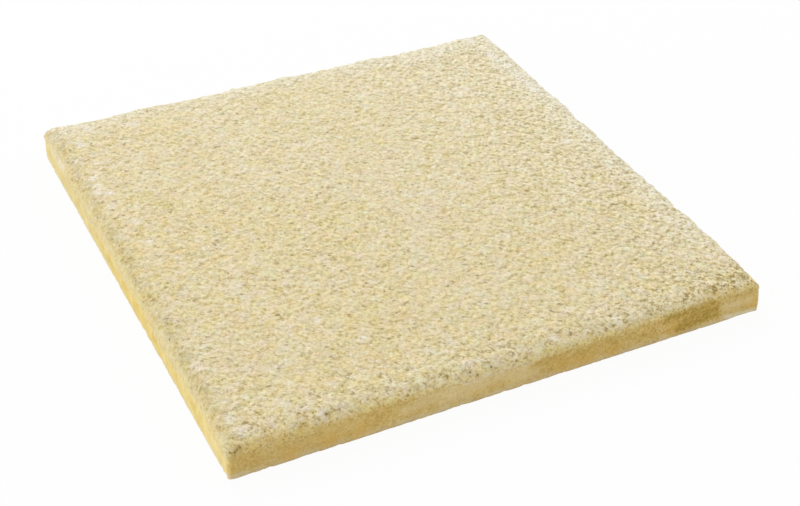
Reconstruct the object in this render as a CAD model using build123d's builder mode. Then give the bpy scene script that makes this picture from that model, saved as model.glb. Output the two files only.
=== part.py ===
"""Square concrete paving slab with mould-drafted sides and a worn, rounded top edge.

The slab is one casting. It lies on its bed face with the origin at the middle of that face, +Z up,
its sides along X and Y. All lengths are in millimetres and all angles in degrees.
"""

import os
from math import cos, pi, radians, sin, tan

from build123d import *

# Overall size
side_length = 450.0  # across the bed face, the widest level of the slab
thickness = 32.0  # bed face to wearing face

# Mould: upright sides and the break around the bed
side_draft = 1.0  # each side leans in by this angle, so that the casting leaves its mould
corner_radius = 3.0  # upright corners, at the bed
bed_chamfer = 0.5  # break around the bed face

# Arris: the rounded edge between the sides and the wearing face, a quarter ellipse in section
arris_drop = 10.0  # how far it reaches down the side
arris_width = 14.0  # how far it reaches in over the wearing face
arris_corner_radius = 10.0  # plan radius of the wearing face's corners
arris_contours = 6  # level outlines that the arris is drawn through, above the sides' top

# Wear: the arris wanders in and out along each side, most at the wearing face
wear_depth = 1.1  # furthest the outline wanders
long_waves = 3  # slow waves along a side
short_waves = 7  # quick waves along a side
points_per_wave = 6  # spline points for each quick wave
side_phase = 100.0  # shifts the waves from one side to the next, so that no two sides match

# Levels and sizes that follow from those above
sides = 4
quarter_turn = 360 / sides
upright_height = thickness - arris_drop
upright_inset = upright_height * tan(radians(side_draft))
upright_corner_radius = corner_radius - upright_inset


def wear(share: float, side: int) -> float:
    """How far the worn outline stands out at a share of the way along a side, as a part of wear_depth."""
    phase = radians(side_phase * side)
    slow = sin(2 * pi * long_waves * share + phase)
    quick = sin(2 * pi * short_waves * share + 2 * phase)
    fade_at_corners = sin(pi * share) ** 2
    return fade_at_corners * (slow + quick) / 2


def contour(half_side: float, radius: float, wear_here: float) -> None:
    """Draws one level outline of the slab in the current BuildLine, side by side with its corner arcs."""
    straight = half_side - radius
    steps = short_waves * points_per_wave
    shares = [step / steps for step in range(steps + 1)]
    for side in range(sides):
        turn = quarter_turn * side
        along_side = Vector(1, 0).rotate(Axis.Z, turn)
        arc_centre = Vector(straight, -straight).rotate(Axis.Z, turn)
        side_points = []
        for share in shares:
            place = Vector((2 * share - 1) * straight, -half_side - wear_here * wear(share, side))
            side_points.append(place.rotate(Axis.Z, turn))
        if wear_here == 0:
            Line(side_points[0], side_points[-1])
        else:
            add(Edge.make_spline(side_points, tangents=[along_side, along_side], parameters=shares))
        CenterArc(arc_centre, radius, turn - quarter_turn, quarter_turn)


with BuildPart() as paving_slab:
    # Body below the arris: the mould's own outline, drawn in by the draft
    with BuildSketch():
        RectangleRounded(side_length, side_length, corner_radius)
    extrude(amount=upright_height, taper=side_draft)
    chamfer(paving_slab.edges().group_by(Axis.Z)[0], bed_chamfer)

    # Arris and wearing face: outlines that step in and up along a quarter ellipse
    for level in range(arris_contours + 1):
        angle = pi / 2 * level / arris_contours
        rise = sin(angle)
        step_in = 1 - cos(angle)
        with BuildSketch(Plane.XY.offset(upright_height + arris_drop * rise)):
            with BuildLine():
                contour(
                    half_side=side_length / 2 - upright_inset - arris_width * step_in,
                    radius=upright_corner_radius + (arris_corner_radius - upright_corner_radius) * step_in,
                    wear_here=wear_depth * step_in,
                )
            make_face()
    loft()

paving_slab.part.label = "paving_slab"

os.makedirs("parts", exist_ok=True)
export_step(paving_slab.part, "parts/paving_slab.step")

print("overall size", paving_slab.part.bounding_box().size)
print("volume in litres", round(paving_slab.part.volume / 1e6, 4))
print("solids", len(paving_slab.part.solids()), "faces", len(paving_slab.part.faces()))
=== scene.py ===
# %% [markdown]
# # A buff concrete paving slab
# A paving slab is one casting: its sides come smooth out of a steel mould, and its wearing face shows
# the sand and fine stone that the concrete is made of. The CAD model fixes its size and its worn, rounded
# arris, the edge that feet and barrows rub down. This lesson gives that solid its grain, pits, nicks and
# colours.
#
# First the frame is loaded. The slab's place and its outer size are read from it, so that nothing has to
# be fitted afterwards.

import math

import bpy
import numpy as np
from mathutils import Matrix, Vector
from mathutils.bvhtree import BVHTree


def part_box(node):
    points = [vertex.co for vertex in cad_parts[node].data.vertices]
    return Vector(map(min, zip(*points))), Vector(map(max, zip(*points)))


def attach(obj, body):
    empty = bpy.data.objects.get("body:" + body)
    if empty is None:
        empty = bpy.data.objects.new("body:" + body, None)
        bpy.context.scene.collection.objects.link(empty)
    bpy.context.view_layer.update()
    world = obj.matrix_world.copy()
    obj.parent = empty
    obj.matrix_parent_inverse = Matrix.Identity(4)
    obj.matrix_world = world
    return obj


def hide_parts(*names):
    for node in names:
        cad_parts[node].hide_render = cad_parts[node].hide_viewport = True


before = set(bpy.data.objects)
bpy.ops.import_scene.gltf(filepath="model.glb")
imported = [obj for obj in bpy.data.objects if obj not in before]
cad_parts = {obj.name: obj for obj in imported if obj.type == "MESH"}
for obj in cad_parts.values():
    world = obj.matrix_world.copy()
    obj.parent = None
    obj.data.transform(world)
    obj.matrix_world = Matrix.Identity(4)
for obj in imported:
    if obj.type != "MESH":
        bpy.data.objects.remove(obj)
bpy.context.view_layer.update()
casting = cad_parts["paving_slab"]

MM = 0.001
high_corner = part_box("paving_slab")[1]
half_side = high_corner.x
thickness = high_corner.z
print("slab across", round(2 * half_side / MM, 1), "mm and", round(thickness / MM, 1), "mm thick")

# %% [markdown]
# ## The camera
# The photograph looks down on one corner, with the bright left side and the long front side in view. A
# camera can be aimed with a Track To constraint, but that keeps the horizon level, and this picture was
# taken with the camera rolled by almost two degrees. So its three axes are worked out from azimuth,
# elevation and roll, and written straight into its matrix.

# %% Set up the camera
PICTURE_WIDTH = 800
PICTURE_HEIGHT = 506
view_azimuth = math.radians(-27.6)
view_elevation = math.radians(36.4)
view_roll = math.radians(1.84)
view_distance = 1.248
view_target = Vector((-0.0006, -0.0377, 0.0))
lens = 67.7
sensor_width = 36.0

back = Vector((
    math.sin(view_azimuth) * math.cos(view_elevation),
    -math.cos(view_azimuth) * math.cos(view_elevation),
    math.sin(view_elevation),
))
level_right = Vector((math.cos(view_azimuth), math.sin(view_azimuth), 0.0))
level_up = back.cross(level_right)
camera_right = math.cos(view_roll) * level_right + math.sin(view_roll) * level_up
camera_up = math.cos(view_roll) * level_up - math.sin(view_roll) * level_right
camera_place = view_target + view_distance * back

camera_data = bpy.data.cameras.new("photo_camera")
camera_data.lens = lens
camera_data.sensor_fit = "HORIZONTAL"
camera_data.sensor_width = sensor_width
camera = bpy.data.objects.new("photo_camera", camera_data)
bpy.context.scene.collection.objects.link(camera)
camera_axes = Matrix((camera_right, camera_up, back)).transposed()
camera.matrix_world = Matrix.Translation(camera_place) @ camera_axes.to_4x4()
bpy.context.scene.camera = camera
print("camera stands at", [round(value, 3) for value in camera_place])

# %% [markdown]
# ## Places read from the photograph
# Some marks belong to this one slab: a few blow holes, pale patches of lime, and the wavy line where the
# grain ends on the sides. Each is noted as the pixel where it shows. A ray from the camera through that
# pixel meets the solid at the mark's real place, so a mark lies on the slab from any side and not only in
# this view.

# %% Cast a pixel onto the slab
solid_tree = BVHTree.FromObject(casting, bpy.context.evaluated_depsgraph_get())
pixels_per_unit = PICTURE_WIDTH * lens / sensor_width


def seen_at(pixel_x, pixel_y):
    """The point of the slab that shows at a pixel of the photograph, in metres."""
    across = (pixel_x - PICTURE_WIDTH / 2) / pixels_per_unit
    upwards = (PICTURE_HEIGHT / 2 - pixel_y) / pixels_per_unit
    direction = (across * camera_right + upwards * camera_up - back).normalized()
    place = solid_tree.ray_cast(camera_place, direction)[0]
    if place is None:
        raise ValueError(f"pixel {pixel_x}, {pixel_y} misses the slab")
    return place


nearest_corner_pixel = (232, 455)
nearest_corner = seen_at(*nearest_corner_pixel)
print("the corner nearest the camera is at", [round(value / MM) for value in nearest_corner], "mm")

# %% [markdown]
# ## The net
# Relief needs vertices. A voxel remesh would spend half of them on the hidden bed face, so the net is laid
# by rule instead: a fine square grid on the wearing face, rings that step down the arris and the sides, and
# on the bed a few rings whose vertices halve in number until a coarse grid closes it. The quads on top are
# under 2 mm wide, about the size of a sand grain.

# %% Lay out the rings
cells = 256
arris_rows = 13
side_rows = 12
arris_width = 14.0 * MM
arris_drop = 10.0 * MM
side_lean = 0.38 * MM
bed_break = 0.5 * MM
foot_radius = 3.0 * MM
crown_radius = 10.0 * MM


def rounded(u, v, half, radius):
    """Places grid coordinates from -1 to 1 on a square with rounded corners."""
    straight = half - radius
    x = np.abs(u) * half
    y = np.abs(v) * half
    a = np.clip((x - straight) / radius, 0, 1)
    b = np.clip((y - straight) / radius, 0, 1)
    x = np.minimum(x, straight) + radius * a * np.sqrt(1 - b * b / 2)
    y = np.minimum(y, straight) + radius * b * np.sqrt(1 - a * a / 2)
    return np.copysign(x, u), np.copysign(y, v)


def rim(count):
    """Grid coordinates around the edge of a grid, counter-clockwise from its first corner."""
    run = np.linspace(-1, 1, count, endpoint=False)
    one = np.ones(count)
    return np.concatenate([run, one, -run, -one]), np.concatenate([-one, run, one, -run])


levels = []
for row in range(1, arris_rows + 1):
    angle = math.pi / 2 * (1 - row / arris_rows)
    inset = side_lean + arris_width * (1 - math.cos(angle))
    radius = foot_radius + (crown_radius - foot_radius) * (1 - math.cos(angle))
    levels.append((inset, radius, thickness - arris_drop * (1 - math.sin(angle))))
for row in range(1, side_rows + 1):
    share = row / side_rows
    height = (1 - share) * (thickness - arris_drop) + share * bed_break
    levels.append((side_lean * (1 - share), foot_radius, height))
levels.append((bed_break, foot_radius - bed_break, 0.0))
print("rings below the wearing face:", len(levels))

# %% Helpers that add and join rows of the net
places = []
faces = []


def add_grid(count, half, radius, height, upwards):
    """Adds a square grid of quads and returns its rim, counter-clockwise seen from above."""
    start = sum(len(block) for block in places)
    steps = np.linspace(-1, 1, count + 1)
    u, v = (axis.ravel() for axis in np.meshgrid(steps, steps, indexing="xy"))
    x, y = rounded(u, v, half, radius)
    places.append(np.column_stack([x, y, np.full_like(x, height)]))
    number = start + np.arange((count + 1) ** 2).reshape(count + 1, count + 1)
    quads = np.stack([number[:-1, :-1], number[:-1, 1:], number[1:, 1:], number[1:, :-1]], axis=-1)
    quads = quads.reshape(-1, 4)
    faces.extend((quads if upwards else quads[:, ::-1]).tolist())
    return np.concatenate([number[0, :-1], number[:-1, -1], number[-1, :0:-1], number[:0:-1, 0]])


def add_ring(count, half, radius, height):
    """Adds a ring of vertices and returns their numbers."""
    start = sum(len(block) for block in places)
    x, y = rounded(*rim(count), half, radius)
    places.append(np.column_stack([x, y, np.full_like(x, height)]))
    return start + np.arange(4 * count)


def join_equal(upper, lower):
    """Joins two rings of as many vertices with quads that face outwards."""
    quads = np.stack([upper, lower, np.roll(lower, -1), np.roll(upper, -1)], axis=-1)
    faces.extend(quads.tolist())


def join_halving(fine, coarse):
    """Joins a ring to one of half as many vertices with triangles that face down."""
    first = fine[0::2]
    middle = fine[1::2]
    last = np.roll(first, -1)
    after = np.roll(coarse, -1)
    for corners in ((first, coarse, middle), (middle, coarse, after), (middle, after, last)):
        faces.extend(np.stack(corners, axis=-1).tolist())


print("a ring of the net has", 4 * cells, "vertices")

# %% Build the net
crown_inset = side_lean + arris_width
upper = add_grid(cells, half_side - crown_inset, crown_radius, thickness, upwards=True)
for inset, radius, height in levels:
    lower = add_ring(cells, half_side - inset, radius, height)
    join_equal(upper, lower)
    upper = lower
bed_start = sum(len(block) for block in places)

bed_ring_insets = (4.0 * MM, 9.0 * MM)
bed_grid_inset = 20.0 * MM
bed_count = cells
for inset in bed_ring_insets:
    bed_count //= 2
    lower = add_ring(bed_count, half_side - inset, bed_break, 0.0)
    join_halving(upper, lower)
    upper = lower
bed_count //= 2
lower = add_grid(bed_count, half_side - bed_grid_inset, bed_break, 0.0, upwards=False)
join_halving(upper, lower)

net_places = np.concatenate(places)
net = bpy.data.meshes.new("slab_net")
net.from_pydata(net_places.tolist(), [], faces)
triangles = sum(len(face) - 2 for face in faces)
print("net:", len(net_places), "vertices,", triangles, "triangles")

# %% [markdown]
# ## Where the grain ends
# The mould rubs the lower part of each side smooth, and the grain of the wearing face rolls over the arris
# down to a scalloped line. Its height was read along the two sides that show. The two hidden sides take the
# line of the side that they face, run the other way. Each vertex keeps its height above that line as an
# attribute, which both the relief and the colours read.

# %% Read the grain line
front_grain_line_pixels = [
    (232, 456), (246, 451), (262, 447), (284, 443), (298, 437), (312, 432), (321, 423), (340, 421),
    (358, 416), (373, 408), (387, 403), (402, 401), (419, 394), (441, 387), (476, 380), (496, 373),
    (518, 366), (535, 361), (544, 357), (574, 348), (607, 337), (639, 325), (665, 316), (692, 309),
    (714, 300), (730, 294), (752, 290),
]
left_grain_line_pixels = [
    (226, 460), (211, 430), (200, 411), (190, 394), (179, 377), (163, 352), (150, 328), (142, 310),
    (130, 291), (118, 270), (105, 244), (96, 231), (90, 224), (86, 217), (82, 208), (68, 184),
    (61, 170), (53, 155), (49, 145),
]
front_line = sorted((seen_at(*pixel).x, seen_at(*pixel).z) for pixel in front_grain_line_pixels)
left_line = sorted((seen_at(*pixel).y, seen_at(*pixel).z) for pixel in left_grain_line_pixels)


def line_height(along, line):
    """Height of the grain line at places along a side."""
    return np.interp(along, [place for place, height in line], [height for place, height in line])


x, y, z = net_places.T
front_or_back = line_height(np.where(y < 0, x, -x), front_line)
left_or_right = line_height(np.where(x < 0, y, -y), left_line)
above_line = z - np.where(np.abs(y) > np.abs(x), front_or_back, left_or_right)
print("grain line on the front side:", [round(height / MM, 1) for place, height in front_line])
print("grain line on the left side:", [round(height / MM, 1) for place, height in left_line])

# %% [markdown]
# ## Blow holes, lime and stains
# Air bubbles against the mould leave blow holes, small dark pits. Lime that dries out of the concrete
# leaves pale bloom, damp leaves an olive stain, iron in the sand an ochre one, the foot is chipped at one
# end, and one corner is worn more than the others. These are soft spots around the places seen in the
# photograph, kept as attributes on the net. The material later breaks up their outlines with noise.

# %% List the marks
def along(start, end, count):
    """Pixels spaced evenly from one to another, for a mark that is long."""
    return [tuple(a + (b - a) * step / (count - 1) for a, b in zip(start, end)) for step in range(count)]


blow_hole_pixels = [
    (230, 453), (235, 453), (219, 427), (202, 405), (169, 339), (143, 296), (135, 280), (119, 246),
    (112, 239), (72, 180), (67, 162), (171, 212), (136, 230), (182, 306), (326, 414), (290, 410),
    (489, 339), (490, 352), (524, 335), (637, 305), (614, 325), (470, 372), (478, 375), (492, 367),
    (252, 427), (251, 397),
]
bloom_pixels = [
    (86, 129), (134, 124), (82, 145), (93, 178), (97, 186), (99, 192), (110, 192), (110, 206), (136, 220),
    (149, 242), (196, 366), (231, 420), (240, 433), (286, 403), (322, 415), (364, 338), (472, 39), (440, 51),
    (468, 89), (466, 121), (566, 141),
]
bloom_pixels += along((486, 52), (512, 70), 8) + along((516, 74), (536, 90), 6)
bloom_pixels += along((405, 410), (525, 370), 24) + along((420, 401), (525, 367), 20)
bloom_pixels += along((52, 153), (62, 168), 4) + along((206, 428), (224, 462), 8)
bloom_pixels += along((443, 402), (468, 394), 5) + along((518, 378), (536, 372), 4)
bloom_pixels += along((726, 307), (750, 300), 6)
damp_pixels = along((542, 366), (630, 337), 14) + along((704, 305), (750, 294), 8)
stain_pixels = along((668, 319), (714, 303), 10) + along((680, 328), (715, 314), 8)
stain_pixels += along((686, 320), (716, 308), 6)
ochre_pixels = [
    (290, 457), (330, 440), (360, 431), (562, 365), (578, 360), (590, 357), (612, 350), (674, 329),
    (753, 302),
]
chip_pixels = along((727, 317), (736, 315), 4) + along((736, 316), (751, 311), 7)
worn_corner_pixels = [(751, 279), (756, 286)]
spot_marks = {
    "blow_hole": (blow_hole_pixels, 1.5 * MM),
    "bloom": (bloom_pixels, 4.4 * MM),
    "damp": (damp_pixels, 7.0 * MM),
    "stain": (stain_pixels, 5.0 * MM),
    "ochre": (ochre_pixels, 7.0 * MM),
    "chip": (chip_pixels, 3.2 * MM),
    "worn_corner": (worn_corner_pixels, 10.0 * MM),
}
print("spots of each mark:", {name: len(pixels) for name, (pixels, radius) in spot_marks.items()})


# %% Keep the marks on the net
def spots(pixels, radius):
    """A value from 0 to 1 at each vertex of the net: how deep it lies in soft round spots."""
    value = np.zeros(len(net_places))
    for pixel in pixels:
        distance = np.linalg.norm(net_places - np.array(seen_at(*pixel)), axis=1)
        value = np.maximum(value, np.exp(-((distance / radius) ** 2)))
    return value


def keep(name, values):
    """Stores one number for each vertex of the net, for the node trees to read."""
    attribute = net.attributes.new(name, "FLOAT", "POINT")
    attribute.data.foreach_set("value", np.asarray(values, dtype=np.float32))


keep("above_line", above_line / MM)
keep("bed", np.arange(len(net_places)) >= bed_start)
for name, (pixels, radius) in spot_marks.items():
    keep(name, spots(pixels, radius))
print("the net carries", [attribute.name for attribute in net.attributes])

# %% [markdown]
# ## Helpers for node trees
# Geometry Nodes and materials share most of their nodes: Math, Noise, Voronoi, Map Range and Mix work in
# both. A few small helpers write either kind of tree: one adds a node and fills its inputs by name, with
# numbers or with other nodes' outputs, and the others write the steps of a formula.

# %% Helpers that add nodes
def fill(tree, socket, value):
    """Gives a socket a number, or links it to another node's output."""
    if isinstance(value, bpy.types.NodeSocket):
        tree.links.new(value, socket)
    else:
        socket.default_value = value


def add_node(tree, kind, inputs=None, **settings):
    """Adds a node with its settings, fills its inputs and returns it."""
    node = tree.nodes.new(kind)
    for name, value in settings.items():
        setattr(node, name, value)
    for name, value in (inputs or {}).items():
        fill(tree, node.inputs[name], value)
    return node


def calc(tree, operation, *values):
    """One step of a formula, such as calc(tree, "ADD", a, b)."""
    node = add_node(tree, "ShaderNodeMath", operation=operation)
    for socket, value in zip(node.inputs, values):
        fill(tree, socket, value)
    return node.outputs[0]


print("nodes can be added and calculated with")


# %% Helpers that write formulas
def times(tree, *values):
    """The product of two or more values."""
    product = values[0]
    for value in values[1:]:
        product = calc(tree, "MULTIPLY", product, value)
    return product


def weighted(tree, terms, start=0.0):
    """A start value plus each term's value times its weight."""
    total = start
    for value, weight in terms:
        total = calc(tree, "MULTIPLY_ADD", value, weight, total)
    return total


def mix_values(tree, share, first, second):
    """Goes from the first value to the second as the share goes from 0 to 1."""
    inputs = {"Factor": share, "A": first, "B": second}
    return add_node(tree, "ShaderNodeMix", inputs, data_type="FLOAT").outputs["Result"]


def between(tree, value, low, high, from_value=0.0, to_value=1.0):
    """Eases from one value to another as the input goes from low to high."""
    inputs = {"Value": value, "From Min": low, "From Max": high, "To Min": from_value, "To Max": to_value}
    return add_node(tree, "ShaderNodeMapRange", inputs, interpolation_type="SMOOTHSTEP").outputs["Result"]


def noise(tree, place, size, seed=0.0, detail=2.0, roughness=0.5):
    """Cloudy noise from 0 to 1 whose blots are about as wide as size, in the units of place."""
    scale = calc(tree, "DIVIDE", 1.0, size) if isinstance(size, bpy.types.NodeSocket) else 1.0 / size
    inputs = {"Vector": place, "W": seed, "Scale": scale, "Detail": detail, "Roughness": roughness}
    return add_node(tree, "ShaderNodeTexNoise", inputs, noise_dimensions="4D").outputs["Fac"]


print("formulas can be written")

# %% [markdown]
# ## The relief
# A Geometry Nodes tree turns the net into the slab. It first draws each vertex onto the CAD solid with
# Geometry Proximity, so that the worn line of the arris is the solid's own. Then it moves the surface along
# its normals: lumps and sand grains about the solid's surface where the grain shows, faint mould marks on
# the smooth sides, a nibbled foot, the blow holes, the chip and the worn corner. Displacement in the
# material could do it too, but then the mesh itself would stay flat.

# %% Begin the relief tree
relief = bpy.data.node_groups.new("slab_relief", "GeometryNodeTree")
relief.interface.new_socket("Geometry", in_out="OUTPUT", socket_type="NodeSocketGeometry")
relief_inputs = {}
for name, kind in (
    ("Geometry", "Geometry"), ("Casting", "Object"), ("Lump Size", "Float"), ("Lump Depth", "Float"),
    ("Grain Size", "Float"), ("Grain Depth", "Float"), ("Edge Wander", "Float"),
    ("Mould Mark Depth", "Float"), ("Nick Depth", "Float"), ("Blow Hole Depth", "Float"),
    ("Chip Depth", "Float"), ("Corner Wear", "Float"), ("Seed", "Float"), ("Material", "Material"),
):
    relief_inputs[name] = relief.interface.new_socket(name, in_out="INPUT", socket_type="NodeSocket" + kind)

given = add_node(relief, "NodeGroupInput").outputs
solid = add_node(relief, "GeometryNodeObjectInfo", {"Object": given["Casting"]})
nearest = add_node(
    relief, "GeometryNodeProximity", {"Geometry": solid.outputs["Geometry"]}, target_element="FACES",
)
seated = add_node(
    relief, "GeometryNodeSetPosition",
    {"Geometry": given["Geometry"], "Position": nearest.outputs["Position"]},
)


def read(name):
    """A number that the net carries at each vertex."""
    node = add_node(relief, "GeometryNodeInputNamedAttribute", {"Name": name}, data_type="FLOAT")
    return node.outputs["Attribute"]


place = add_node(relief, "GeometryNodeInputPosition").outputs["Position"]
seed = given["Seed"]
print("relief tree has", len(relief_inputs), "inputs")

# %% Grain on the face and marks on the sides
# share of exposed grain, with a line that wobbles by a millimetre or two
wobble_size = 6.0 * MM
wobble_mm = 5.0
wobble = calc(relief, "MULTIPLY_ADD", noise(relief, place, wobble_size, seed), wobble_mm, -wobble_mm / 2)
exposed = between(relief, calc(relief, "ADD", read("above_line"), wobble), -2.0, 2.0)
smooth_side = calc(relief, "SUBTRACT", 1.0, exposed)

lumps = between(relief, noise(relief, place, given["Lump Size"], seed), 0.25, 0.75, 1.0, 0.0)
grain_cells = add_node(
    relief, "ShaderNodeTexVoronoi",
    {"Vector": place, "W": seed, "Scale": calc(relief, "DIVIDE", 1.0, given["Grain Size"])},
    voronoi_dimensions="4D",
)
grains = calc(relief, "MINIMUM", grain_cells.outputs["Distance"], 1.0)

# the lumps are deeper near the edges
edge_start = 26.0 * MM
edge_end = 8.0 * MM
edge_roughness = 1.2
parts = add_node(relief, "ShaderNodeSeparateXYZ", {"Vector": place}).outputs
reach = calc(relief, "MAXIMUM", calc(relief, "ABSOLUTE", parts["X"]), calc(relief, "ABSOLUTE", parts["Y"]))
near_edge = between(relief, reach, half_side - edge_start, half_side - edge_end)
rougher = calc(relief, "MULTIPLY_ADD", near_edge, edge_roughness, 1.0)
grain_sink = weighted(relief, [
    (times(relief, lumps, rougher), given["Lump Depth"]), (grains, given["Grain Depth"]),
])
deepest = calc(relief, "MULTIPLY_ADD", rougher, given["Lump Depth"], given["Grain Depth"])
hollow = times(relief, exposed, calc(relief, "DIVIDE", grain_sink, deepest))
grain_stand = times(relief, deepest, -0.5)
print("grain is in the relief tree:", len(relief.nodes), "nodes")

# %% Worn edges, nicks and marks
mould_mark_size = 14.0 * MM
mould_marks = times(relief, noise(relief, place, mould_mark_size, seed, 3.0), given["Mould Mark Depth"])

# the arris wanders, the rest of the wearing face doesn't
wander_size = 26.0 * MM
wander_gain = 4.0
wander_noise = noise(relief, place, wander_size, seed, detail=3.0, roughness=0.6)
wander = calc(relief, "MULTIPLY_ADD", wander_noise, wander_gain, -wander_gain / 2)

# the foot is nibbled where it met the mould's floor
foot_height = 3.5 * MM
nibble_size = 7.0 * MM
at_foot = between(relief, parts["Z"], 0.0, foot_height, 1.0, 0.0)
on_side = calc(relief, "SUBTRACT", 1.0, read("bed"))
nibbles = between(relief, noise(relief, place, nibble_size, seed, detail=3.0, roughness=0.6), 0.45, 0.75)

sink = weighted(relief, [
    (exposed, calc(relief, "ADD", grain_sink, grain_stand)),
    (smooth_side, mould_marks),
    (times(relief, near_edge, exposed, wander), given["Edge Wander"]),
    (times(relief, at_foot, on_side, nibbles), given["Nick Depth"]),
    (read("blow_hole"), given["Blow Hole Depth"]),
    (times(relief, read("chip"), on_side), given["Chip Depth"]),
    (read("worn_corner"), given["Corner Wear"]),
])
print("edges and marks are in the relief tree:", len(relief.nodes), "nodes")

# %% Move the surface and dress it
normal = add_node(relief, "GeometryNodeInputNormal").outputs["Normal"]
inwards = add_node(
    relief, "ShaderNodeVectorMath", {0: normal, "Scale": times(relief, sink, -1.0)}, operation="SCALE",
).outputs["Vector"]

# what the material needs: the place before the move, and how deep a point lies among the grains, for painted
# shade in the hollows
marked = add_node(
    relief, "GeometryNodeStoreNamedAttribute",
    {"Geometry": seated.outputs["Geometry"], "Name": "cast_place", "Value": place}, data_type="FLOAT_VECTOR",
)
marked = add_node(
    relief, "GeometryNodeStoreNamedAttribute",
    {"Geometry": marked.outputs["Geometry"], "Name": "hollow", "Value": hollow}, data_type="FLOAT",
)
moved = add_node(
    relief, "GeometryNodeSetPosition", {"Geometry": marked.outputs["Geometry"], "Offset": inwards},
)
soft = add_node(relief, "GeometryNodeSetShadeSmooth", {"Geometry": moved.outputs["Geometry"]})
whole = add_node(relief, "GeometryNodeRealizeInstances", {"Geometry": soft.outputs["Geometry"]})
dressed = add_node(
    relief, "GeometryNodeSetMaterial",
    {"Geometry": whole.outputs["Geometry"], "Material": given["Material"]},
)
add_node(relief, "NodeGroupOutput", {"Geometry": dressed.outputs["Geometry"]})
print("relief tree:", len(relief.nodes), "nodes")

# %% [markdown]
# ## The concrete's colours
# Colours are written as they look on a screen, from 0 to 255, and turned into the linear numbers that
# shaders use.

# %% Colour helpers
def paint(red, green, blue):
    """A screen colour from 0 to 255 as linear red, green, blue and alpha."""
    linear = []
    for value in (red / 255, green / 255, blue / 255):
        linear.append(value / 12.92 if value <= 0.04045 else ((value + 0.055) / 1.055) ** 2.4)
    return (*linear, 1.0)


def ramp(tree, value, stops):
    """A colour that runs through stops, each a place from 0 to 1 and a screen colour."""
    node = add_node(tree, "ShaderNodeValToRGB", {"Fac": value})
    elements = node.color_ramp.elements
    while len(elements) < len(stops):
        elements.new(1.0)
    for element, (position, colour) in zip(elements, stops):
        element.position = position
        element.color = paint(*colour)
    return node.outputs["Color"]


def mix(tree, share, first, second, blend="MIX"):
    """Mixes two colours, each a node's output or a screen colour."""
    node = add_node(tree, "ShaderNodeMix", data_type="RGBA", blend_type=blend)
    fill(tree, node.inputs["Factor"], share)
    for socket, colour in ((node.inputs[6], first), (node.inputs[7], second)):
        fill(tree, socket, colour if isinstance(colour, bpy.types.NodeSocket) else paint(*colour))
    return node.outputs[2]


buff = (222, 208, 170)
print("buff in linear numbers:", [round(value, 3) for value in paint(*buff)])

# %% [markdown]
# ## Sand grains
# Up close the wearing face is grains of sand, each with its own shade, set in cement that lies a little
# deeper. A Voronoi texture gives random numbers to each cell. One becomes the grain's shade, another picks
# out the few grains that have fallen out or are white, and the distance to the cell's middle becomes its
# dome. Its cells have straight edges, so the place is first bent with noise. The group is placed twice in
# the material, for coarse and fine sand.

# %% Sand grain group
bend_scale = 1.5
bend_reach = 1.6
sand = bpy.data.node_groups.new("sand_grains", "ShaderNodeTree")
sand.interface.new_socket("Place", in_out="INPUT", socket_type="NodeSocketVector")
sand.interface.new_socket("Grain Size", in_out="INPUT", socket_type="NodeSocketFloat")
for name in ("Shade", "Pick", "Dome"):
    sand.interface.new_socket(name, in_out="OUTPUT", socket_type="NodeSocketFloat")
sand_given = add_node(sand, "NodeGroupInput").outputs
sand_scale = calc(sand, "DIVIDE", 1.0, sand_given["Grain Size"])
bend = add_node(
    sand, "ShaderNodeTexNoise",
    {"Vector": sand_given["Place"], "Scale": times(sand, sand_scale, bend_scale), "Detail": 1.0},
).outputs["Color"]
bent_place = add_node(
    sand, "ShaderNodeVectorMath",
    {0: bend, 1: times(sand, sand_given["Grain Size"], bend_reach), 2: sand_given["Place"]},
    operation="MULTIPLY_ADD",
).outputs["Vector"]
sand_cells = add_node(sand, "ShaderNodeTexVoronoi", {"Vector": bent_place, "Scale": sand_scale})
sand_numbers = add_node(sand, "ShaderNodeSeparateColor", {"Color": sand_cells.outputs["Color"]}).outputs
sand_dome = between(sand, sand_cells.outputs["Distance"], 0.1, 0.75, 1.0, 0.0)
add_node(
    sand, "NodeGroupOutput",
    {"Shade": sand_numbers["Red"], "Pick": sand_numbers["Green"], "Dome": sand_dome},
)
print("sand group puts out", [item.name for item in sand.interface.items_tree if item.in_out == "OUTPUT"])

# %% [markdown]
# ## The material
# One material covers the whole casting, because it is one concrete. Masks from the net choose between the
# grainy face, the mould-smooth sides and the plain bed. All patterns are laid out at each point's place
# before it was moved, in millimetres, so that colour and relief stay together.

# %% Begin the material
concrete = bpy.data.materials.new("buff_concrete")
concrete.use_nodes = True
tree = concrete.node_tree
tree.nodes.clear()


def carried(name):
    """A number that the slab's mesh carries at each vertex."""
    return add_node(tree, "ShaderNodeAttribute", attribute_name=name).outputs["Fac"]


cast_place = add_node(tree, "ShaderNodeAttribute", attribute_name="cast_place").outputs["Vector"]
place_mm = add_node(
    tree, "ShaderNodeVectorMath", {0: cast_place, "Scale": 1.0 / MM}, operation="SCALE",
).outputs["Vector"]
place_parts = add_node(tree, "ShaderNodeSeparateXYZ", {"Vector": place_mm}).outputs
half_mm = half_side / MM
top_mm = thickness / MM
left_mm = -half_mm
front_mm = -half_mm


def by_place(axis, start, end, from_value=0.0, to_value=1.0):
    """Eases from one value to another between two places along an axis, in millimetres."""
    return between(tree, place_parts[axis], start, end, from_value, to_value)


print("the sides are at", round(left_mm, 1), "and", round(half_mm, 1), "mm")

# %% Where the grain shows
patch_size = 4.0
patchy = between(tree, noise(tree, place_mm, patch_size, seed=6.0, detail=3.0, roughness=0.6), 0.35, 0.65)

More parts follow.
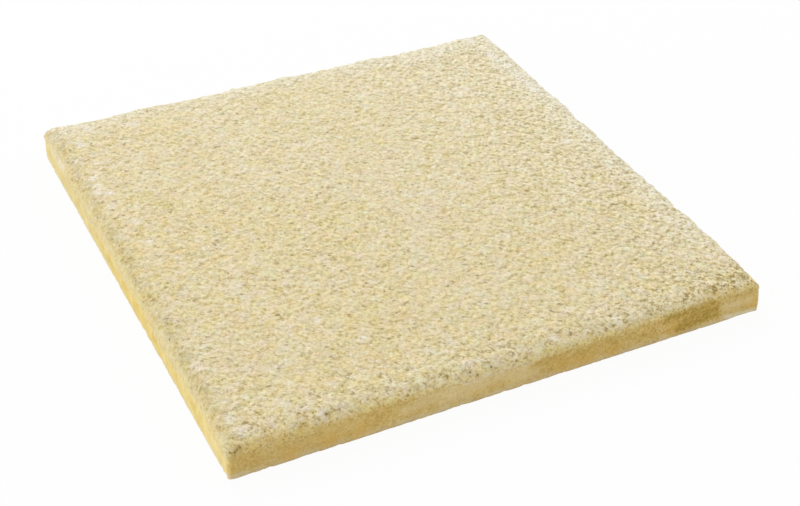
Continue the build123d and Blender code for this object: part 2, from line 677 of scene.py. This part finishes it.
# the face was tamped, which drew the sand out a little in one direction
grit_size = 1.6
tamped_angle = math.radians(-28.0)
tamped_scale = (1.2, 0.9, 1.0)
drawn_out = add_node(
    tree, "ShaderNodeMapping",
    {"Vector": place_mm, "Rotation": (0.0, 0.0, tamped_angle), "Scale": tamped_scale}, vector_type="TEXTURE",
).outputs["Vector"]
grit = noise(tree, drawn_out, grit_size, seed=1.0, detail=3.0, roughness=0.6)

# the grain ends in a ragged line, with single grains beyond it, but more sharply on the left side
height_over_line = carried("above_line")
ragged_patches = noise(tree, place_mm, patch_size, seed=7.0, detail=3.0, roughness=0.6)
ragged = weighted(tree, [(ragged_patches, 12.0), (grit, 14.0)], start=-13.0)
ragged = times(tree, ragged, by_place("X", left_mm + 4.0, left_mm + 12.0, 0.5, 1.0))
grain_share = between(tree, calc(tree, "ADD", height_over_line, ragged), -3.5, 2.5)
print("grain and skin are told apart:", len(tree.nodes), "nodes")

# %% Masks for the edges
on_arris = by_place("Z", top_mm - 9.0, top_mm - 0.3, 1.0, 0.0)
far_edge = calc(tree, "MAXIMUM", place_parts["X"], place_parts["Y"])
far_arris = times(tree, on_arris, between(tree, far_edge, half_mm - 20.0, half_mm - 5.0))
back_arris = times(tree, on_arris, by_place("Y", half_mm - 20.0, half_mm - 5.0))
front_band = by_place("Y", front_mm + 4.0, front_mm + 15.0, 1.0, 0.0)
front_arris = times(tree, on_arris, front_band)
on_front = by_place("Y", front_mm + 1.0, front_mm + 6.0, 1.0, 0.0)
near_end = times(tree, on_front, by_place("X", -190.0, -90.0, 0.45, 0.0))
on_left = times(
    tree, by_place("X", left_mm + 0.5, left_mm + 2.5),
    by_place("X", left_mm + 5.0, left_mm + 16.0, 1.0, 0.0),
)
left_side = by_place("X", left_mm + 1.2, left_mm + 3.6, 1.0, 0.0)
print("edges are masked:", len(tree.nodes), "nodes")

# %% Wearing face: shades of sand
coarse_grain = 3.2
fine_grain = 1.7
coarse_sand, fine_sand = (
    add_node(tree, "ShaderNodeGroup", {"Place": drawn_out, "Grain Size": size}, node_tree=sand).outputs
    for size in (coarse_grain, fine_grain)
)
mottle_size = 7.0
drift_size = 80.0
mottle = noise(tree, place_mm, mottle_size, seed=2.0, detail=3.0)
drift = noise(tree, place_mm, drift_size, seed=3.0)

# painted shading of small humps lit from behind: paler on their far side and darker on their near side,
# the noise before a point less that behind it
hump_size = 3.6
hump_step = 1.6
hump_shading = 0.53


def humps_at(step):
    """The noise of the small humps, read a step further along Y."""
    place = add_node(tree, "ShaderNodeVectorMath", {0: place_mm, 1: (0.0, step, 0.0)}, operation="ADD")
    return noise(tree, place.outputs["Vector"], hump_size, seed=9.0)


# painted shade: darker where a point lies deeper among the lumps and grains, and towards the rim of each
# coarse grain
sand_shade = weighted(tree, [
    (coarse_sand["Shade"], 0.12), (fine_sand["Shade"], 0.28), (coarse_sand["Dome"], 0.08), (grit, 0.86),
    (carried("hollow"), -0.14), (humps_at(hump_step), -hump_shading), (humps_at(-hump_step), hump_shading),
], start=-0.59)
contrast = times(
    tree, by_place("X", 40.0, half_mm, 1.0, 1.45), by_place("Y", front_mm + 10.0, front_mm + 50.0, 1.2, 1.0),
    between(tree, front_band, 0.0, 1.0, 1.0, 1.3),
)
# painted light: the arris is lifted where it turns from the lamps, less at the back and the right, and so is
# a band along the front edge
shade = weighted(tree, [
    (sand_shade, contrast), (mottle, 0.16), (drift, 0.06), (on_arris, 0.21), (far_arris, -0.06),
    (back_arris, -0.14), (front_band, 0.10),
], start=0.40)
print("grains of", coarse_grain, "and", fine_grain, "mm are shaded")

# %% Wearing face: colours
face_colour = ramp(tree, shade, [
    (0.12, (164, 146, 106)), (0.34, (210, 194, 158)), (0.50, (227, 212, 182)), (0.66, (237, 224, 198)),
    (0.88, (248, 239, 217)),
])
paler_face_colour = ramp(tree, shade, [
    (0.12, (178, 165, 120)), (0.50, (231, 225, 203)), (0.88, (251, 252, 250)),
])

# where the face is darker it is yellower too, in blots much wider than a grain
blush_size = 10.0
hue = weighted(tree, [(mottle, 1.1), (drift, 0.3)], start=-0.20)
yellowness = ramp(tree, hue, [(0.25, (254, 249, 211)), (0.75, (250, 253, 255))])
blush = noise(tree, place_mm, blush_size, seed=13.0, detail=1.0)
pinkness = ramp(tree, blush, [(0.25, (249, 254, 249)), (0.75, (255, 250, 252))])
face_colour = mix(tree, 1.0, face_colour, yellowness, "MULTIPLY")
face_colour = mix(tree, 1.0, face_colour, pinkness, "MULTIPLY")
print("wearing face is coloured:", len(tree.nodes), "nodes")

# %% [markdown]
# ## Arris tint, painted shade and pale edges
# The rounded arris is tinted yellower than the face, and lifted with painted light where it turns from the
# lamps. On the left its grain is darkened in patches with painted shade. Away from it, towards the back and
# the right, the face is a little paler.

# %% Arris tint and painted shade
arris_yellow = (255, 245, 208)
near_end_brown = (234, 218, 188)
left_arris_shade_grey = (235, 233, 224)
hollow_cream = (255, 246, 220)
face_colour = mix(tree, on_arris, face_colour, arris_yellow, "MULTIPLY")
face_colour = mix(tree, near_end, face_colour, near_end_brown, "MULTIPLY")
# painted shade: the grain of the left arris is darkened and greyed in patches
left_shade_patches = calc(tree, "MULTIPLY_ADD", patchy, 0.5, 0.5)
face_colour = mix(tree, times(tree, on_left, left_shade_patches), face_colour, left_arris_shade_grey, "MULTIPLY")
warm_hollows = times(tree, front_band, between(tree, shade, 0.2, 0.6))
warm_hollows = calc(tree, "SUBTRACT", front_band, warm_hollows)
face_colour = mix(tree, warm_hollows, face_colour, hollow_cream, "MULTIPLY")
print("arris is weathered")

# %% Single grains and pale edges
socket_brown = (142, 115, 68)
grain_white = (253, 248, 234)
fallen_out = times(tree, between(tree, coarse_sand["Pick"], 0.965, 0.98), coarse_sand["Dome"], 0.8)
face_colour = mix(tree, fallen_out, face_colour, socket_brown)
white_grains = times(tree, between(tree, fine_sand["Pick"], 0.955, 0.97), fine_sand["Dome"], 0.6)
face_colour = mix(tree, white_grains, face_colour, grain_white)

# towards the back and the right the face is paler, most near those two edges, less on the arris and none
# near the front
to_back_right = calc(tree, "ADD", place_parts["X"], place_parts["Y"])
paler_far_share = calc(
    tree, "ADD", between(tree, to_back_right, -200.0, 420.0, 0.0, 0.28),
    between(tree, far_edge, half_mm - 38.0, half_mm - 4.0, 0.0, 0.40),
)
paler_far_share = times(
    tree, paler_far_share, between(tree, on_arris, 0.1, 0.7, 1.0, 0.2),
    by_place("Y", front_mm + 20.0, front_mm + 100.0),
)
face_colour = mix(tree, paler_far_share, face_colour, paler_face_colour)
print("face is weathered:", len(tree.nodes), "nodes")

# %% [markdown]
# ## Smooth sides
# Against the mould the cement closes over the sand. The skin is a deeper, yellower buff, softly clouded,
# with faint upright streaks where the slab slid out of the mould. On the front side, away from the lamps,
# it is made warmer and a little darker: painted shade.

# %% Mould skin
streak_width = 1.6
streak_scale = (1.0, 1.0, 0.15)
cloud_size = 14.0
front_shade_warmth = (255, 247, 241)
near_end_ochre = (213, 184, 111)
streak_place = add_node(
    tree, "ShaderNodeMapping", {"Vector": place_mm, "Scale": streak_scale}, vector_type="POINT",
).outputs["Vector"]
streaks = noise(tree, streak_place, streak_width, seed=4.0, detail=3.0)
clouds = noise(tree, place_mm, cloud_size, seed=5.0, detail=4.0, roughness=0.6)
skin_grit = mix_values(tree, between(tree, on_front, 0.0, 1.0, 0.4, 1.0), 0.5, grit)
skin_shade = weighted(tree, [(clouds, 0.50), (streaks, 0.15), (skin_grit, 0.35)])
skin_colour = ramp(tree, skin_shade, [
    (0.36, (207, 179, 100)), (0.5, (228, 206, 131)), (0.64, (241, 226, 166)),
])
# painted shade: the front side made warmer and a little darker
skin_colour = mix(tree, on_front, skin_colour, front_shade_warmth, "MULTIPLY")
skin_colour = mix(tree, near_end, skin_colour, near_end_ochre)
bare_sand = times(tree, on_front, by_place("X", 20.0, 120.0, 0.6, 0.8))
sand_specks = ramp(tree, grit, [(0.30, (202, 184, 140)), (0.45, (244, 238, 226)), (0.65, (255, 255, 255))])
skin_colour = mix(tree, bare_sand, skin_colour, sand_specks, "MULTIPLY")
print("mould skin is coloured:", len(tree.nodes), "nodes")

# %% Dusty foot, left side and pits
dust_buff = (234, 224, 192)
middle_yellow = (252, 248, 234)
left_grey = (206, 200, 172)
pit_brown = (160, 132, 76)
near_foot = by_place("Z", 1.0, 8.0, 0.6, 0.0)
foot_dust = times(tree, near_foot, between(tree, patchy, 0.0, 1.0, 0.3, 1.0))
skin_colour = mix(tree, foot_dust, skin_colour, dust_buff)

# the left side is yellower in its middle, and greyer under its arris and towards the back
left_middle = times(tree, left_side, by_place("Y", -150.0, -50.0), by_place("Y", 0.0, 50.0, 1.0, 0.0))
skin_colour = mix(tree, left_middle, skin_colour, middle_yellow, "MULTIPLY")
colour = mix(tree, grain_share, skin_colour, face_colour)
greyer = calc(
    tree, "MAXIMUM", between(tree, height_over_line, -3.0, 3.0), by_place("Y", -20.0, 160.0, 0.0, 0.7),
)
colour = mix(tree, times(tree, left_side, greyer, 0.32), colour, left_grey)

# small pits in the front arris, down to a little below the grain
pits = times(
    tree, front_arris, between(tree, height_over_line, -7.0, 0.0, 0.0, 0.8),
    between(tree, fine_sand["Pick"], 0.80, 0.86), fine_sand["Dome"],
)
colour = mix(tree, pits, colour, pit_brown)
print("mould skin runs under the grain:", len(tree.nodes), "nodes")

# %% [markdown]
# ## Stains, lime and holes
# The spots that the net carries are soft and round. Their shares are mixed with the patchy noise or the
# grit, which breaks up most of their outlines. They are laid over face and skin in the order in which they
# come on the real slab: stains soak in, lime dries on top of them, and chips and holes go through all of it.

# %% Stains and lime
ochre_yellow = (226, 182, 88)
bloom_on_skin = (241, 222, 172)
bloom_on_grain = (240, 236, 226)
half_patchy = calc(tree, "MULTIPLY_ADD", patchy, 0.4, 0.6)
smooth_share = calc(tree, "SUBTRACT", 1.0, grain_share)
colour = mix(tree, times(tree, carried("ochre"), half_patchy, smooth_share, 0.7), colour, ochre_yellow)
stain_colour = ramp(tree, grit, [(0.3, (158, 126, 44)), (0.7, (216, 184, 94))])
damp_share = times(tree, carried("damp"), half_patchy, 0.45)
stain_share = between(tree, calc(tree, "MULTIPLY_ADD", patchy, 0.35, carried("stain")), 0.25, 1.1)
stain_share = times(tree, stain_share, between(tree, grain_share, 0.0, 1.0, 1.0, 0.65))
colour = mix(tree, calc(tree, "MAXIMUM", damp_share, stain_share), colour, stain_colour)
bloom_speckle = between(tree, calc(tree, "MULTIPLY_ADD", patchy, 0.15, grit), 0.42, 0.70, 0.1, 0.9)
bloom_share = times(tree, carried("bloom"), mix_values(tree, grain_share, 0.5, bloom_speckle))
bloom_colour = mix(tree, grain_share, bloom_on_skin, bloom_on_grain)
colour = mix(tree, bloom_share, colour, bloom_colour)
print("stains and lime lie over face and skin:", len(tree.nodes), "nodes")

# %% Bed face, chip and blow holes
chip_cream = (244, 234, 200)
hole_brown = (140, 117, 68)
bed_colour = ramp(tree, clouds, [(0.3, (188, 172, 132)), (0.7, (214, 199, 158))])
colour = mix(tree, carried("bed"), colour, bed_colour)
chip_share = between(tree, calc(tree, "MULTIPLY_ADD", patchy, 0.3, carried("chip")), 0.2, 1.3, 0.0, 0.85)
colour = mix(tree, chip_share, colour, chip_cream)
hole_edge = calc(tree, "MULTIPLY_ADD", grit, 0.8, 0.6)
hole_share = between(tree, times(tree, carried("blow_hole"), hole_edge), 0.3, 0.9, 0.0, 0.9)
colour = mix(tree, hole_share, colour, hole_brown)
print("chip and holes lie over the stains:", len(tree.nodes), "nodes")

# %% [markdown]
# ## Bump and roughness
# What is finer than the net is left to bump: the domes of the grains, and a faint tooth on the skin. Dry
# concrete is matt, and the skin from the mould a little less so than the open grain.

# %% Finish the material
bump_depth = 0.8 * MM
tooth_size = 0.9
skin_roughness = 0.78
grain_roughness = 0.95
grain_height = weighted(tree, [
    (coarse_sand["Dome"], 0.25), (fine_sand["Dome"], 0.25), (grit, 0.8),
], start=-0.65)
skin_height = noise(tree, place_mm, tooth_size, seed=8.0, detail=3.0)
height = weighted(tree, [(times(tree, grain_height, grain_share), 1.0), (skin_height, 0.08)])
bump = add_node(tree, "ShaderNodeBump", {"Strength": 1.0, "Distance": bump_depth, "Height": height})
shader = add_node(
    tree, "ShaderNodeBsdfPrincipled",
    {
        "Base Color": colour,
        "Roughness": between(tree, grain_share, 0.0, 1.0, skin_roughness, grain_roughness),
        "Normal": bump.outputs["Normal"],
        "Specular IOR Level": 0.25,
    },
)
add_node(tree, "ShaderNodeOutputMaterial", {"Surface": shader.outputs["BSDF"]})
print("material:", len(tree.nodes), "nodes")

# %% [markdown]
# ## Make the slab
# The tree runs as a modifier on the net. Its inputs are set by the sockets' identifiers, and the evaluated
# result is copied into a plain mesh, so that the modifier can go and only the finished surface is left.

# %% Run the relief on the net
relief_sizes = {
    "Casting": casting, "Lump Size": 6.0 * MM, "Lump Depth": 0.6 * MM, "Grain Size": 3.6 * MM,
    "Grain Depth": 0.4 * MM, "Edge Wander": 1.4 * MM, "Mould Mark Depth": 0.15 * MM, "Nick Depth": 0.9 * MM,
    "Blow Hole Depth": 1.2 * MM, "Chip Depth": 0.5 * MM, "Corner Wear": 2.6 * MM, "Seed": 11.0,
    "Material": concrete,
}
shaping = bpy.data.objects.new("slab_shaping", net)
bpy.context.scene.collection.objects.link(shaping)
modifier = shaping.modifiers.new("slab_relief", "NODES")
modifier.node_group = relief
for name, value in relief_sizes.items():
    modifier[relief_inputs[name].identifier] = value

evaluated = shaping.evaluated_get(bpy.context.evaluated_depsgraph_get())
slab_mesh = bpy.data.meshes.new_from_object(evaluated)
bpy.data.objects.remove(shaping)
slab_mesh.name = "concrete_slab"
slab = bpy.data.objects.new("concrete_slab", slab_mesh)
bpy.context.scene.collection.objects.link(slab)
slab_mesh.calc_loop_triangles()
print("slab:", len(slab_mesh.loop_triangles), "triangles of", [item.name for item in slab_mesh.materials])

# %% Tie the slab to the frame
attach(slab, "root")
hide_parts("paving_slab")

# %% [markdown]
# ## Floor and light
# The slab lies on a plain white floor, with an even white sky for fill and three soft lamps at its left,
# its right and behind it, so that the side towards the camera is the darkest. At this level a white card on
# the floor would just reach white, and the slab's colours come out about as they are written. To the camera
# and in gloss the floor and the sky are lifted to white, and the floor keeps a faint shadow.

# %% White floor
floor_half = 3.0
floor_mesh = bpy.data.meshes.new("studio_floor")
floor_corners = [
    (-floor_half, -floor_half, 0), (floor_half, -floor_half, 0), (floor_half, floor_half, 0),
    (-floor_half, floor_half, 0),
]
floor_mesh.from_pydata(floor_corners, [], [(0, 1, 2, 3)])
floor = bpy.data.objects.new("studio_floor", floor_mesh)
bpy.context.scene.collection.objects.link(floor)

floor_white = bpy.data.materials.new("floor_white")
floor_white.use_nodes = True
floor_tree = floor_white.node_tree
floor_tree.nodes.clear()


def seen_directly(light_tree):
    """1 for rays that show the background itself: from the camera, in gloss or through glass."""
    path = add_node(light_tree, "ShaderNodeLightPath").outputs
    glossy = calc(light_tree, "MAXIMUM", path["Is Glossy Ray"], path["Is Transmission Ray"])
    return calc(light_tree, "MAXIMUM", path["Is Camera Ray"], glossy)


floor_lift = 0.94
card_grey = (0.82, 0.82, 0.82, 1.0)
white = (1.0, 1.0, 1.0, 1.0)
card = add_node(floor_tree, "ShaderNodeBsdfDiffuse", {"Color": card_grey})
lifted = add_node(floor_tree, "ShaderNodeEmission", {"Color": white, "Strength": 1.0})
floor_share = times(floor_tree, seen_directly(floor_tree), floor_lift)
floor_mix = add_node(
    floor_tree, "ShaderNodeMixShader",
    {"Fac": floor_share, 1: card.outputs["BSDF"], 2: lifted.outputs["Emission"]},
)
add_node(floor_tree, "ShaderNodeOutputMaterial", {"Surface": floor_mix.outputs["Shader"]})
floor_mesh.materials.append(floor_white)
print("floor is", 2 * floor_half, "m across")

# %% Sky
sky_level = 0.60
world = bpy.data.worlds.new("even_sky")
bpy.context.scene.world = world
world.use_nodes = True
sky = world.node_tree
sky.nodes.clear()
sky_strength = between(sky, seen_directly(sky), 0.0, 1.0, sky_level, 1.0)
sky_shader = add_node(sky, "ShaderNodeBackground", {"Color": white, "Strength": sky_strength})
add_node(sky, "ShaderNodeOutputWorld", {"Surface": sky_shader.outputs["Background"]})
print("sky level:", sky_level)

# %% Soft lamps
# a lamp's level is about how bright it alone makes a white card that faces it
lamp_distance = 3.0
lamp_size = 1.8
lamps = {
    "left_lamp": {"azimuth": 180.0, "elevation": 28.0, "level": 0.36},
    "right_lamp": {"azimuth": 0.0, "elevation": 28.0, "level": 0.28},
    "back_lamp": {"azimuth": 90.0, "elevation": 36.0, "level": 0.40},
}
for name, lamp in lamps.items():
    azimuth = math.radians(lamp["azimuth"])
    elevation = math.radians(lamp["elevation"])
    direction = Vector((
        math.cos(elevation) * math.cos(azimuth),
        math.cos(elevation) * math.sin(azimuth),
        math.sin(elevation),
    ))
    light = bpy.data.lights.new(name, "AREA")
    light.shape = "DISK"
    light.size = lamp_size
    light.energy = lamp["level"] * math.pi ** 2 * lamp_distance ** 2
    holder = bpy.data.objects.new(name, light)
    holder.location = lamp_distance * direction
    holder.rotation_euler = direction.to_track_quat("Z", "Y").to_euler()
    bpy.context.scene.collection.objects.link(holder)
bpy.context.scene.view_settings.view_transform = "Standard"
print("lamps:", list(lamps))
